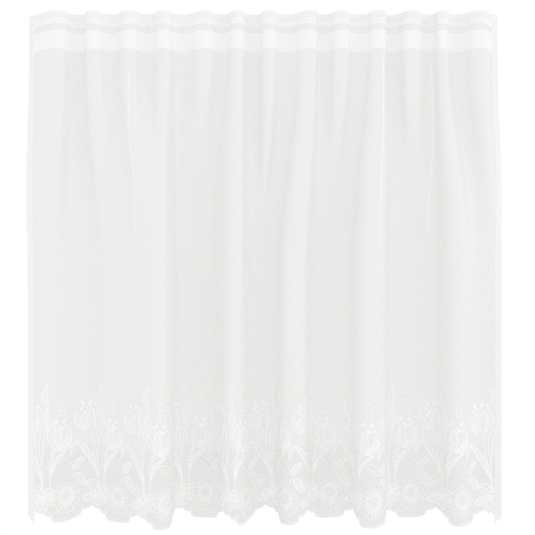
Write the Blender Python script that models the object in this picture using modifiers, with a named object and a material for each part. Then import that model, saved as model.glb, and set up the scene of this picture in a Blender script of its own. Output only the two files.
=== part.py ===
# Lace curtain: one width of woven net hung by its top edge, with two heading tapes sewn on its back.
# Metres, +Z up. The origin is the middle of the top edge, X runs along the heading, the front faces -Y.

from collections import namedtuple

import bmesh
import bpy
import numpy as np

# Cut size of the cloth, laid flat
CLOTH_WIDTH = 1.70
HEM_LINE = 1.400        # top edge down to the notches of the scalloped edge
SIDE_HEM = 0.020        # turned hem on each side
FRILL = 0.017           # net turned over above the first tape

# Thickness of one layer, and the taper where a turned edge ends
NET_THICKNESS = 0.001
TURN_TAPER = 0.002

# Colours
NET_WHITE = (0.86, 0.87, 0.86)
TAPE_WHITE = (0.93, 0.93, 0.91)

# Heading tapes: how far below the top edge each one starts and ends
NARROW_TAPE = (0.017, 0.034)
WIDE_TAPE = (0.054, 0.104)
TAPE_THICKNESS = 0.001
SEWING_GAP = 0.0003

# Mesh of the cloth: columns in a lace repeat, twice as many along the scalloped edge, and the rows below the heading
LACE_REPEAT = 0.163
COLUMNS_PER_REPEAT = 11
EDGE_STEPS = 2 * COLUMNS_PER_REPEAT
ROWS_BELOW_HEADING = (0.150, 0.200, 0.250, 0.300, 0.350, 0.400, 0.450, 0.500, 0.560, 0.640,
                      0.740, 0.880, 1.060, 1.230, 1.335, 1.385)

# Scalloped edge: one row for each bay of a repeat, the wide scallop first.
# start and end count edge steps from the middle of the wide scallop.
# Their drops are below the hem line, and sag is how far the curve hangs below them, in millimetres.
# fullness 2 is round, and more is boxier.
FIRST_SCALLOP = 0.111   # side edge to the middle of the first wide scallop
Bay = namedtuple("Bay", "start end start_drop end_drop sag fullness")
BAYS = (
    Bay(-6, 6, 14, 9, 23.5, 3.0),
    Bay(6, 10, 9, -4, 6, 2.0),
    Bay(10, 13, -4, 3, 6, 2.0),
    Bay(13, 16, 3, 14, 7, 2.0),
)
CORNER_OUTER_DROP = 0.016
CORNER_INNER_DROP = 0.037

# The cloth hangs straight in the heading. Below it every fold moves to its place at the hem.
HEADING_DEPTH = WIDE_TAPE[1]
FOLD_STEPS = 24
LINE_POINTS = 681
LEVEL_STEP = 0.02
HEADING_SOFTNESS = 0.005
HEM_SOFTNESS = 0.014
SOFTNESS_RANGE = (0.10, 1.00)
DEPTH_RANGE = (0.5, 1.8)
DEPTH_TRIES = 16
BOW = 0.011             # share by which the cloth spreads sideways at the level of the bow
BOW_LEVEL = 0.45
BOW_REACH = 0.22
MM = 0.001

# One row for each hill and valley of the cloth, from the left edge to the right edge, in millimetres.
# out is the distance in front of the middle plane, so a valley has a negative one.
# settled is how far below the top edge the fold reaches its hem place.
# lean is how steep the flank to the next row is; above 1 it overhangs.
Fold = namedtuple("Fold", "head_x head_out hem_x hem_out settled head_lean hem_lean")
FOLDS = (
    Fold(-672, -24, -665, 10, 865, 0.2, 0.0),
    Fold(-581, 20, -621, 18, 865, 0.6, 0.2),
    Fold(-530, -20, -509, -34, 865, 1.1, 0.2),
    Fold(-482, 18, -434, -8, 695, 0.4, 0.0),
    Fold(-435, -16, -393, 14, 695, 0.3, 0.0),
    Fold(-384, 19, -327, 52, 670, 0.8, 0.0),
    Fold(-331, -15, -307, 60, 585, 0.3, 0.0),
    Fold(-286, 20, -287, 64, 755, 0.6, 1.15),
    Fold(-240, -18, -230, -32, 865, 0.3, 0.2),
    Fold(-166, 18, -194, -38, 500, 0.4, 0.0),
    Fold(-121, -17, -165, -32, 500, 0.5, 0.3),
    Fold(-79, 20, -87, 34, 865, 0.7, 0.8),
    Fold(-33, -20, -21, -32, 810, 1.1, 0.2),
    Fold(13, 20, -4, -38, 695, 0.8, 0.1),
    Fold(53, -18, 4, -38, 695, 0.6, 1.0),
    Fold(134, 20, 79, 30, 810, 0.7, 0.9),
    Fold(158, -18, 162, -34, 810, 0.6, 0.4),
    Fold(219, 18, 202, -33, 530, 0.6, 0.2),
    Fold(260, -16, 216, -30, 500, 0.8, 0.9),
    Fold(326, 20, 284, 48, 810, 0.8, 1.3),
    Fold(357, -20, 397, -34, 810, 0.8, 0.3),
    Fold(412, 18, 426, -36, 555, 0.5, 0.2),
    Fold(468, -18, 464, -30, 640, 1.1, 0.5),
    Fold(493, 18, 535, 36, 865, 0.7, 0.5),
    Fold(541, -18, 606, 4, 695, 0.6, 0.2),
    Fold(601, 20, 630, 7, 695, 0.6, 0.1),
    Fold(660, -20, 662, 12, 865, 0.0, 0.0),
)


def ease(amount):
    """A smooth step from 0 to 1."""
    amount = np.clip(amount, 0.0, 1.0)
    return amount * amount * (3.0 - 2.0 * amount)


def fold_column(name):
    return np.array([getattr(fold, name) for fold in FOLDS], dtype=float)


def fold_outline(drop):
    """The cloth seen from above at this drop: hills and valleys joined by leaning S-curves."""
    settling = ease((drop - HEADING_DEPTH) / (fold_column("settled") * MM - HEADING_DEPTH))
    across = fold_column("head_x") * (1 - settling) + fold_column("hem_x") * settling
    back = -(fold_column("head_out") * (1 - settling) + fold_column("hem_out") * settling)
    lean = fold_column("head_lean") * (1 - settling) + fold_column("hem_lean") * settling
    step = np.arange(FOLD_STEPS) / FOLD_STEPS
    along = step + lean[:-1, None] * np.sin(2 * np.pi * step) / (2 * np.pi)
    rise = (1 - np.cos(np.pi * step)) / 2
    x = across[:-1, None] + np.diff(across)[:, None] * along
    y = back[:-1, None] + np.diff(back)[:, None] * rise
    middle = (FOLDS[0].head_x + FOLDS[-1].head_x) / 2
    spread = MM * (1 + BOW * np.exp(-((drop - BOW_LEVEL) / BOW_REACH) ** 2))
    return (np.append(x.ravel(), across[-1]) - middle) * spread, np.append(y.ravel(), back[-1]) * MM


def spread_evenly(x, y):
    """The same line with its points at equal steps along the cloth, and its length."""
    length = np.concatenate([[0.0], np.cumsum(np.hypot(np.diff(x), np.diff(y)))])
    even = np.linspace(0.0, length[-1], LINE_POINTS)
    return np.interp(even, length, x), np.interp(even, length, y), length[-1]


def soften(line, radius):
    """Round the line's bends: a weighted mean over this distance along the cloth."""
    spread = radius / CLOTH_WIDTH * (LINE_POINTS - 1)
    reach = int(3 * spread) + 1
    weight = np.exp(-0.5 * (np.arange(-reach, reach + 1) / spread) ** 2)
    before = 2 * line[0] - line[reach:0:-1]
    after = 2 * line[-1] - line[-2:-reach - 2:-1]
    return np.convolve(np.concatenate([before, line, after]), weight / weight.sum(), "valid")


def cloth_line(drop):
    """The cloth at this drop, with the folds made deeper or flatter until it is as long as the cut."""
    start, end = SOFTNESS_RANGE
    softness = HEADING_SOFTNESS + (HEM_SOFTNESS - HEADING_SOFTNESS) * ease((drop - start) / (end - start))
    x, y = fold_outline(drop)
    shallow, deep = DEPTH_RANGE
    for _ in range(DEPTH_TRIES):
        depth = (shallow + deep) / 2
        line_x, line_y, _ = spread_evenly(x, y * depth)
        line_x, line_y, length = spread_evenly(soften(line_x, softness), soften(line_y, softness))
        if length > CLOTH_WIDTH:
            deep = depth
        else:
            shallow = depth
    return line_x, line_y


def cloth_lines():
    """The cloth at even levels from the top edge to below the longest scallop."""
    levels = np.arange(0.0, HEM_LINE + 3 * LEVEL_STEP, LEVEL_STEP)
    lines = [cloth_line(level) for level in levels]
    return levels, np.array([x for x, _ in lines]), np.array([y for _, y in lines])


def hang(lines, along, drop):
    """Where points of the flat cloth go when it hangs: along is from the left edge, drop from the top."""
    levels, line_x, line_y = lines
    row = np.clip(drop / LEVEL_STEP, 0, len(levels) - 1.001)
    column = np.clip(along / CLOTH_WIDTH, 0, 1) * (LINE_POINTS - 1.001)
    top, left = row.astype(int), column.astype(int)
    down, right = row - top, column - left

    def read(grid):
        upper = grid[top, left] * (1 - right) + grid[top, left + 1] * right
        lower = grid[top + 1, left] * (1 - right) + grid[top + 1, left + 1] * right
        return upper * (1 - down) + lower * down

    return np.stack([read(line_x), read(line_y), -drop], axis=1)


def hem_edge(along):
    """How far down the cut edge reaches: the bays of each repeat, and the side hems' corners."""
    first = BAYS[0].start
    place = ((along - FIRST_SCALLOP) / LACE_REPEAT * EDGE_STEPS - first) % EDGE_STEPS + first
    edge = np.zeros_like(place)
    for bay in BAYS:
        share = (place - bay.start) / (bay.end - bay.start)
        curve = np.clip(1 - np.abs(2 * share - 1) ** bay.fullness, 0, 1) ** (1 / bay.fullness)
        drop = bay.start_drop + (bay.end_drop - bay.start_drop) * share + bay.sag * curve
        edge = np.where((share >= 0) & (share <= 1), drop * MM, edge)
    from_side = np.minimum(along, CLOTH_WIDTH - along)
    corner = CORNER_OUTER_DROP + (CORNER_INNER_DROP - CORNER_OUTER_DROP) * from_side / SIDE_HEM
    return HEM_LINE + np.where(from_side < SIDE_HEM - TURN_TAPER / 2, corner, edge)


def lace_columns():
    """Columns in step with the scallops, from one side hem to the other."""
    pitch = LACE_REPEAT / COLUMNS_PER_REPEAT
    first = -int((FIRST_SCALLOP - SIDE_HEM) / pitch)
    last = int((CLOTH_WIDTH - SIDE_HEM - FIRST_SCALLOP) / pitch)
    inner = FIRST_SCALLOP + pitch * np.arange(first, last + 1)
    return np.concatenate([[SIDE_HEM], inner, [CLOTH_WIDTH - SIDE_HEM]])


def flat_grid(columns, rows):
    """A grid of the flat cloth: X is the distance from the left edge and -Y the drop."""
    flat = bmesh.new()
    across, down = len(columns) - 1, len(rows) - 1
    bmesh.ops.create_grid(flat, x_segments=across, y_segments=down, size=1.0)
    for vert in flat.verts:
        column = round((vert.co.x + 1) / 2 * across)
        row = round((1 - vert.co.y) / 2 * down)
        vert.co = (columns[column], -rows[row], 0.0)
    return flat


def hung_object(name, flat, lines, collection, material):
    """Hang a flat grid and make it an object."""
    flat_points = np.array([vert.co[:] for vert in flat.verts])
    for vert, place in zip(flat.verts, hang(lines, flat_points[:, 0], -flat_points[:, 1])):
        vert.co = place
    mesh = bpy.data.meshes.new(name)
    flat.to_mesh(mesh)
    flat.free()
    mesh.materials.append(material)
    mesh.shade_smooth()
    piece = bpy.data.objects.new(name, mesh)
    collection.objects.link(piece)
    return piece, flat_points


def cloth_material(name, colour, roughness):
    material = bpy.data.materials.new(name)
    material.use_nodes = True
    shader = material.node_tree.nodes["Principled BSDF"]
    shader.inputs["Base Color"].default_value = (*colour, 1.0)
    shader.inputs["Roughness"].default_value = roughness
    shader.inputs["Metallic"].default_value = 0.0
    return material


def make_panel(lines, collection):
    """The net panel with its turned side hems, frill and scalloped lace edge, as one cloth."""
    side = [0.0, SIDE_HEM - TURN_TAPER]
    columns = np.concatenate([side, lace_columns(), CLOTH_WIDTH - np.array(side[::-1])])
    heading = (0.0, FRILL - TURN_TAPER, FRILL, NARROW_TAPE[1], WIDE_TAPE[0], WIDE_TAPE[1])
    rows = (*heading, *ROWS_BELOW_HEADING, HEM_LINE)
    flat = flat_grid(columns, rows)
    lace_row = ROWS_BELOW_HEADING[-1]
    scallops = [edge for edge in flat.edges
                if all(-vert.co.y > lace_row - NET_THICKNESS for vert in edge.verts)
                and edge.verts[0].co.y == edge.verts[1].co.y]
    bmesh.ops.subdivide_edges(flat, edges=scallops, cuts=1)
    for vert in flat.verts:
        if -vert.co.y > HEM_LINE - NET_THICKNESS:
            vert.co.y = -float(hem_edge(np.array(vert.co.x)))
    material = cloth_material("white_net", NET_WHITE, 0.85)
    panel, flat_points = hung_object("lace_panel", flat, lines, collection, material)

    turned = panel.vertex_groups.new(name="turned")
    from_side = np.minimum(flat_points[:, 0], CLOTH_WIDTH - flat_points[:, 0])
    doubled = (from_side < SIDE_HEM - TURN_TAPER / 2) | (-flat_points[:, 1] < FRILL - TURN_TAPER / 2)
    turned.add(np.flatnonzero(doubled).tolist(), 1.0, "REPLACE")
    solidify = panel.modifiers.new("layers", "SOLIDIFY")
    solidify.thickness = 2 * NET_THICKNESS
    solidify.offset = -1.0
    solidify.vertex_group = turned.name
    solidify.thickness_vertex_group = 0.5


def make_tape(name, span, lines, collection):
    """A heading tape on the back of the panel, ending at the side hems."""
    flat = flat_grid(lace_columns(), span)
    material = cloth_material(name + "_white", TAPE_WHITE, 0.80)
    tape, _ = hung_object(name, flat, lines, collection, material)
    solidify = tape.modifiers.new("tape", "SOLIDIFY")
    solidify.thickness = TAPE_THICKNESS
    solidify.offset = -1.0 - 2.0 * (NET_THICKNESS + SEWING_GAP) / TAPE_THICKNESS


def main():
    for old in list(bpy.data.objects):
        bpy.data.objects.remove(old)
    collection = bpy.data.collections.new("lace_curtain")
    bpy.context.scene.collection.children.link(collection)
    lines = cloth_lines()
    make_panel(lines, collection)
    make_tape("heading_band_narrow", NARROW_TAPE, lines, collection)
    make_tape("heading_band_wide", WIDE_TAPE, lines, collection)


main()
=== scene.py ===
import math
from collections import namedtuple

import bpy
import numpy as np
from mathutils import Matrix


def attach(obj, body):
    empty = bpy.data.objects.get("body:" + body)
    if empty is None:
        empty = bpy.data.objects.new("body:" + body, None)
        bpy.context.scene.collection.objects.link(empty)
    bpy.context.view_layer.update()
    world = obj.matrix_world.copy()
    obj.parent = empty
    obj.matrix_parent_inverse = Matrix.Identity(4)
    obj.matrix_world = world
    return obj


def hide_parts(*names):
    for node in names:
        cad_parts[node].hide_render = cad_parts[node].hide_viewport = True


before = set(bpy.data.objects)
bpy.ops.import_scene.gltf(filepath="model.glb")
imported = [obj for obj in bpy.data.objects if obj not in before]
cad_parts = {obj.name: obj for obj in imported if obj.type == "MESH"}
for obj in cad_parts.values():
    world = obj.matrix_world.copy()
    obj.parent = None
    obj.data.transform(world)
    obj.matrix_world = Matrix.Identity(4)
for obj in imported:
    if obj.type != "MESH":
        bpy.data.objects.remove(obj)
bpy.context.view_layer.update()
mm = 0.001
print("frame loaded")

# The cut cloth, with the sizes that the solids have
cloth = {
    "width": 1.70,
    "hemLine": 1.400,        # top edge down to the notches of the scalloped edge
    "sideHem": 0.020,
    "frill": 0.017,
    "narrowTape": (0.017, 0.034),
    "wideTape": (0.054, 0.104),
    "middleDepth": 0.0005,   # middle of the net behind the solid's front face
}

# Scalloped edge: the bays of one repeat, the wide scallop first. Start and end count steps from its middle.
# The drops of their corners and the sag below them are in millimetres. Fullness 2 is round, more is boxier.
border = {
    "repeat": 0.163,
    "firstScallop": 0.111,
    "firstTip": 0.052,       # of a tall leaf, along from the left edge
    "steps": 22,
    "cornerOuter": 0.016,
    "cornerInner": 0.037,
    "deepest": 0.035,
}
Bay = namedtuple("Bay", "start end startDrop endDrop sag fullness")
bays = (
    Bay(-6, 6, 14, 9, 23.5, 3.0),
    Bay(6, 10, 9, -4, 6, 2.0),
    Bay(10, 13, -4, 3, 6, 2.0),
    Bay(13, 16, 3, 14, 7, 2.0),
)

# How the cloth hangs: rows from the left edge to the right edge, in millimetres
hanging = {
    "foldSteps": 24,
    "linePoints": 681,
    "levelStep": 0.01,
    "headingSoftness": 0.005,
    "hemSoftness": 0.014,
    "softnessRange": (0.10, 1.00),
    "depthRange": (0.5, 1.8),
    "depthTries": 16,
    "bow": 0.011,            # share by which the cloth spreads sideways at the level of the bow
    "bowLevel": 0.45,
    "bowReach": 0.22,
}
foldNames = ("headX", "headOut", "hemX", "hemOut", "settled", "headLean", "hemLean")
foldRows = np.array((
    (-672, -24, -665, 10, 865, 0.2, 0.0),
    (-581, 20, -621, 18, 865, 0.6, 0.2),
    (-530, -20, -509, -34, 865, 1.1, 0.2),
    (-482, 18, -434, -8, 695, 0.4, 0.0),
    (-435, -16, -393, 14, 695, 0.3, 0.0),
    (-384, 19, -327, 52, 670, 0.8, 0.0),
    (-331, -15, -307, 60, 585, 0.3, 0.0),
    (-286, 20, -287, 64, 755, 0.6, 1.15),
    (-240, -18, -230, -32, 865, 0.3, 0.2),
    (-166, 18, -194, -38, 500, 0.4, 0.0),
    (-121, -17, -165, -32, 500, 0.5, 0.3),
    (-79, 20, -87, 34, 865, 0.7, 0.8),
    (-33, -20, -21, -32, 810, 1.1, 0.2),
    (13, 20, -4, -38, 695, 0.8, 0.1),
    (53, -18, 4, -38, 695, 0.6, 1.0),
    (134, 20, 79, 30, 810, 0.7, 0.9),
    (158, -18, 162, -34, 810, 0.6, 0.4),
    (219, 18, 202, -33, 530, 0.6, 0.2),
    (260, -16, 216, -30, 500, 0.8, 0.9),
    (326, 20, 284, 48, 810, 0.8, 1.3),
    (357, -20, 397, -34, 810, 0.8, 0.3),
    (412, 18, 426, -36, 555, 0.5, 0.2),
    (468, -18, 464, -30, 640, 1.1, 0.5),
    (493, 18, 535, 36, 865, 0.7, 0.5),
    (541, -18, 606, 4, 695, 0.6, 0.2),
    (601, 20, 630, 7, 695, 0.6, 0.1),
    (660, -20, 662, 12, 865, 0.0, 0.0),
), dtype=float)
fold = dict(zip(foldNames, foldRows.T))
# The net is drawn without the overhang of the steepest flanks, which would show three dark layers
for lean in ("headLean", "hemLean"):
    fold[lean] = np.minimum(fold[lean], 0.93)


# A smooth step from 0 to 1: a*a*(3 - 2a)
def ease(amount):
    amount = np.clip(amount, 0.0, 1.0)
    return amount * amount * (3.0 - 2.0 * amount)


# The cloth from above at one drop: hills and valleys moved from heading to hem, and joined by cosine curves
# that lean to one side
def foldOutline(drop):
    start = cloth["wideTape"][1]
    settling = ease((drop - start) / (fold["settled"] * mm - start))
    across = fold["headX"] * (1 - settling) + fold["hemX"] * settling
    back = -(fold["headOut"] * (1 - settling) + fold["hemOut"] * settling)
    lean = fold["headLean"] * (1 - settling) + fold["hemLean"] * settling
    step = np.arange(hanging["foldSteps"]) / hanging["foldSteps"]
    along = step + lean[:-1, None] * np.sin(2 * np.pi * step) / (2 * np.pi)
    rise = (1 - np.cos(np.pi * step)) / 2
    x = across[:-1, None] + np.diff(across)[:, None] * along
    y = back[:-1, None] + np.diff(back)[:, None] * rise
    middle = (fold["headX"][0] + fold["headX"][-1]) / 2
    spread = mm * (1 + hanging["bow"] * np.exp(-((drop - hanging["bowLevel"]) / hanging["bowReach"]) ** 2))
    return (np.append(x.ravel(), across[-1]) - middle) * spread, np.append(y.ravel(), back[-1]) * mm


# The same line with its points at equal steps of its own length, and that length
def spreadEvenly(x, y):
    length = np.concatenate([[0.0], np.cumsum(np.hypot(np.diff(x), np.diff(y)))])
    even = np.linspace(0.0, length[-1], hanging["linePoints"])
    return np.interp(even, length, x), np.interp(even, length, y), length[-1]


# A bell-weighted mean over this distance along the cloth, with the line carried on oddly past its ends
def soften(line, radius):
    spread = radius / cloth["width"] * (hanging["linePoints"] - 1)
    reach = int(3 * spread) + 1
    weight = np.exp(-0.5 * (np.arange(-reach, reach + 1) / spread) ** 2)
    before = 2 * line[0] - line[reach:0:-1]
    after = 2 * line[-1] - line[-2:-reach - 2:-1]
    return np.convolve(np.concatenate([before, line, after]), weight / weight.sum(), "valid")


# The hung line at one drop, its folds scaled in depth by halving until it is as long as the cut
def clothLine(drop):
    start, end = hanging["softnessRange"]
    growth = hanging["hemSoftness"] - hanging["headingSoftness"]
    softness = hanging["headingSoftness"] + growth * ease((drop - start) / (end - start))
    x, y = foldOutline(drop)
    shallow, deep = hanging["depthRange"]
    for _ in range(hanging["depthTries"]):
        depth = (shallow + deep) / 2
        lineX, lineY, _ = spreadEvenly(x, y * depth)
        lineX, lineY, length = spreadEvenly(soften(lineX, softness), soften(lineY, softness))
        if length > cloth["width"]:
            deep = depth
        else:
            shallow = depth
    return lineX, lineY


levels = np.arange(0.0, cloth["hemLine"] + 0.06, hanging["levelStep"])
hungLines = [clothLine(level) for level in levels]
hungX = np.array([x for x, _ in hungLines])
hungY = np.array([y for _, y in hungLines])
print("folds worked out")


# A point of the solid's front face: a straight blend of the four nearest points of the hung lines
def frontFace(along, drop):
    row = np.clip(drop / hanging["levelStep"], 0, len(levels) - 1.001)
    column = np.clip(along / cloth["width"], 0, 1) * (hanging["linePoints"] - 1.001)
    top = row.astype(int)
    left = column.astype(int)
    down = row - top
    right = column - left

    def read(grid):
        upper = grid[top, left] * (1 - right) + grid[top, left + 1] * right
        lower = grid[top + 1, left] * (1 - right) + grid[top + 1, left + 1] * right
        return upper * (1 - down) + lower * down

    return np.stack([read(hungX), read(hungY), -drop], axis=-1)


# Creases of the net, in millimetres on the flat cloth: three points of each line, its height (below 0 a
# trough), its half width, and its painted light: how much lighter a painted highlight makes its threads, or
# below 0 how much darker a painted shade makes them
Crease = namedtuple("Crease", "topAlong topDrop midAlong midDrop lowAlong lowDrop rise halfWidth sheen")
creases = (
    Crease(357, 150, 362, 421, 335, 760, 0.5, 3.6, 0.50),
    Crease(1262, 110, 1262, 392, 1270, 690, 0.6, 3.2, 0.65),
    Crease(1452, 104, 1448, 300, 1463, 720, 0.6, 3.4, 0.50),
    Crease(1043, 104, 1048, 158, 1053, 300, 0.5, 3.4, 0.45),
    Crease(127, 104, 130, 205, 135, 340, -0.5, 3.4, -0.40),
    Crease(520, 104, 517, 526, 505, 1150, -0.5, 3.6, -0.40),
    Crease(757, 104, 752, 388, 750, 860, -0.5, 3.6, -0.40),
    Crease(1000, 180, 998, 335, 997, 500, -0.5, 3.4, -0.40),
)
creaseFade = {"top": 0.04, "low": 0.16}
pressedLine = {"drop": 0.138, "depth": 0.0005, "halfWidth": 0.0022}


# Height of the creases: a bell across each line, faded in and out at its ends, less the bell of the line
# that is pressed across the net below the heading
def creaseRise(along, drop):
    rise = -pressedLine["depth"] * np.exp(-((drop - pressedLine["drop"]) / pressedLine["halfWidth"]) ** 2)
    rise = np.broadcast_to(rise, np.broadcast(along, drop).shape)
    for crease in creases:
        line = np.interp(drop / mm, (crease.topDrop, crease.midDrop, crease.lowDrop),
                         (crease.topAlong, crease.midAlong, crease.lowAlong))
        fade = (ease((drop - crease.topDrop * mm) / creaseFade["top"])
                * ease((crease.lowDrop * mm - drop) / creaseFade["low"]))
        rise = rise + crease.rise * mm * fade * np.exp(-((along / mm - line) / crease.halfWidth) ** 2)
    return rise


# Where a point of the flat cloth hangs, moved outward from the middle of the net along its front normal
def hang(along, drop, outward=0.0):
    along, drop, outward = (a.astype(float) for a in np.broadcast_arrays(along, drop, outward))
    step = 0.0025
    across = frontFace(along + step, drop) - frontFace(along - step, drop)
    down = frontFace(along, drop + step) - frontFace(along, drop - step)
    normal = np.cross(down, across)
    normal /= np.linalg.norm(normal, axis=-1, keepdims=True)
    offset = outward - cloth["middleDepth"] + creaseRise(along, drop)
    return frontFace(along, drop) + normal * offset[..., None]


# How far down the cut edge reaches: in each bay a straight line between its corners, and a superellipse
# below it
def hemEdge(along):
    first = bays[0].start
    steps = (along - border["firstScallop"]) / border["repeat"] * border["steps"]
    place = (steps - first) % border["steps"] + first
    edge = np.zeros_like(place)
    for bay in bays:
        share = (place - bay.start) / (bay.end - bay.start)
        curve = np.clip(1 - np.abs(2 * share - 1) ** bay.fullness, 0, 1) ** (1 / bay.fullness)
        drop = bay.startDrop + (bay.endDrop - bay.startDrop) * share + bay.sag * curve
        edge = np.where((share >= 0) & (share <= 1), drop * mm, edge)
    return cloth["hemLine"] + edge


# A line inside the cut edge, everywhere as far from it: the highest of the circles round the edge's points
def insideEdge(along, inside):
    reach = np.linspace(-1, 1, 61)[:, None] * inside
    return (hemEdge(along + reach) - np.sqrt(inside ** 2 - reach ** 2)).min(axis=0)


# The lower end of a side hem: a straight slanting cut
def cornerEdge(fromSide):
    slant = (border["cornerInner"] - border["cornerOuter"]) / cloth["sideHem"]
    return cloth["hemLine"] + border["cornerOuter"] + slant * fromSide


# Corner numbers of the squares of a grid stored row by row, joined round across its columns if asked
def gridFaces(rows, columns, around=False):
    row = np.arange(rows - 1)[:, None] * columns
    column = np.arange(columns if around else columns - 1)[None, :]
    following = (column + 1) % columns
    corners = (row + column, row + columns + column, row + columns + following, row + following)
    return np.stack([c.ravel() for c in corners], axis=1)


# One mesh from arrays of points and faces, with a map in metres and a material for each face. An edge is
# kept sharp where both its points have the same ridge number above 0, and ridges="all" keeps all sharp.
def makePiece(name, points, faces, materials, flat, kinds=None, ridges=None):
    points = np.ascontiguousarray(points, dtype=np.float32).reshape(-1, 3)
    faces = np.ascontiguousarray(faces, dtype=np.int32)
    mesh = bpy.data.meshes.new(name)
    mesh.vertices.add(len(points))
    mesh.vertices.foreach_set("co", points.ravel())
    mesh.loops.add(faces.size)
    mesh.loops.foreach_set("vertex_index", faces.ravel())
    mesh.polygons.add(len(faces))
    corners = faces.shape[1]
    mesh.polygons.foreach_set("loop_start", np.arange(0, faces.size, corners, dtype=np.int32))
    mesh.polygons.foreach_set("loop_total", np.full(len(faces), corners, dtype=np.int32))
    clothMap = mesh.uv_layers.new(name="clothMap")
    flat = np.asarray(flat, dtype=np.float32).reshape(-1, 2)
    clothMap.data.foreach_set("uv", flat[faces.ravel()].ravel())
    for material in materials:
        mesh.materials.append(material)
    if kinds is not None:
        mesh.polygons.foreach_set("material_index", np.asarray(kinds, dtype=np.int32))
    mesh.update(calc_edges=True)
    mesh.validate()
    if isinstance(ridges, str):
        mesh.shade_flat()
    else:
        mesh.shade_smooth()
        if ridges is not None:
            ends = np.empty(len(mesh.edges) * 2, dtype=np.int32)
            mesh.edges.foreach_get("vertices", ends)
            first, second = np.asarray(ridges)[ends.reshape(-1, 2).T]
            mesh.edges.foreach_set("use_edge_sharp", (first == second) & (first > 0))
    piece = bpy.data.objects.new(name, mesh)
    bpy.context.scene.collection.objects.link(piece)
    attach(piece, "root")
    print(name, len(points), "points", len(faces), "faces")
    return piece


# Materials

# A node with its settings and fixed inputs
def addNode(tree, kind, inputs=None, **settings):
    node = tree.nodes.new(kind)
    for key, value in settings.items():
        setattr(node, key, value)
    for key, value in (inputs or {}).items():
        if isinstance(value, bpy.types.NodeSocket):
            tree.links.new(value, node.inputs[key])
        else:
            node.inputs[key].default_value = value
    return node


# The result of one sum, product, power or other operation
def mathNode(tree, operation, first, second=0.0):
    return addNode(tree, "ShaderNodeMath", {0: first, 1: second}, operation=operation).outputs[0]


# A value moved from one range to another and held at its ends, in a straight line or smoothly
def rangeNode(tree, value, start, end, low=0.0, high=1.0, smooth=False):
    inputs = {"Value": value, "From Min": start, "From Max": end, "To Min": low, "To Max": high}
    kind = "SMOOTHSTEP" if smooth else "LINEAR"
    return addNode(tree, "ShaderNodeMapRange", inputs, interpolation_type=kind).outputs[0]


# A blend of two colours, each a socket or three numbers
def mixColour(tree, factor, first, second):
    first, second = (c if isinstance(c, bpy.types.NodeSocket) else (*c, 1) for c in (first, second))
    inputs = {"Factor": factor, "A": first, "B": second}
    return addNode(tree, "ShaderNodeMix", inputs, data_type="RGBA").outputs["Result"]


# Thread mesh: two sets of slanting threads, each |cos|^4 across, with slow and fine unevenness from noise
def makeNetWeave():
    group = bpy.data.node_groups.new("netWeave", "ShaderNodeTree")
    sockets = group.interface
    sockets.new_socket("Cloth position", in_out="INPUT", socket_type="NodeSocketVector")
    sockets.new_socket("Holes per metre", in_out="INPUT", socket_type="NodeSocketFloat")
    sockets.new_socket("Cloudiness", in_out="INPUT", socket_type="NodeSocketFloat")
    sockets.new_socket("Thread", in_out="OUTPUT", socket_type="NodeSocketFloat")
    sockets.new_socket("Density", in_out="OUTPUT", socket_type="NodeSocketFloat")
    start = group.nodes.new("NodeGroupInput")
    end = group.nodes.new("NodeGroupOutput")
    place, holes, clouds = start.outputs[0], start.outputs[1], start.outputs[2]
    split = addNode(group, "ShaderNodeSeparateXYZ", {0: place})
    rising = mathNode(group, "ADD", split.outputs[0], split.outputs[1])
    falling = mathNode(group, "SUBTRACT", split.outputs[0], split.outputs[1])
    threads = []
    for slanting in (rising, falling):
        turns = mathNode(group, "MULTIPLY", mathNode(group, "MULTIPLY", slanting, holes), math.pi)
        wave = mathNode(group, "ABSOLUTE", mathNode(group, "COSINE", turns))
        threads.append(mathNode(group, "POWER", wave, 4.0))
    thread = mathNode(group, "MAXIMUM", threads[0], threads[1])
    slow = addNode(group, "ShaderNodeTexNoise", {"Vector": place, "Scale": 26.0, "Detail": 3.0})
    fine = addNode(group, "ShaderNodeTexNoise", {"Vector": place, "Scale": 420.0, "Detail": 2.0})
    mixed = mathNode(group, "ADD", mathNode(group, "MULTIPLY", slow.outputs[0], clouds),
                     mathNode(group, "MULTIPLY", fine.outputs[0], 0.25))
    density = mathNode(group, "MULTIPLY", mathNode(group, "ADD", mixed, thread), 0.5)
    group.links.new(thread, end.inputs["Thread"])
    group.links.new(density, end.inputs["Density"])
    return group


netWeave = makeNetWeave()
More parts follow.
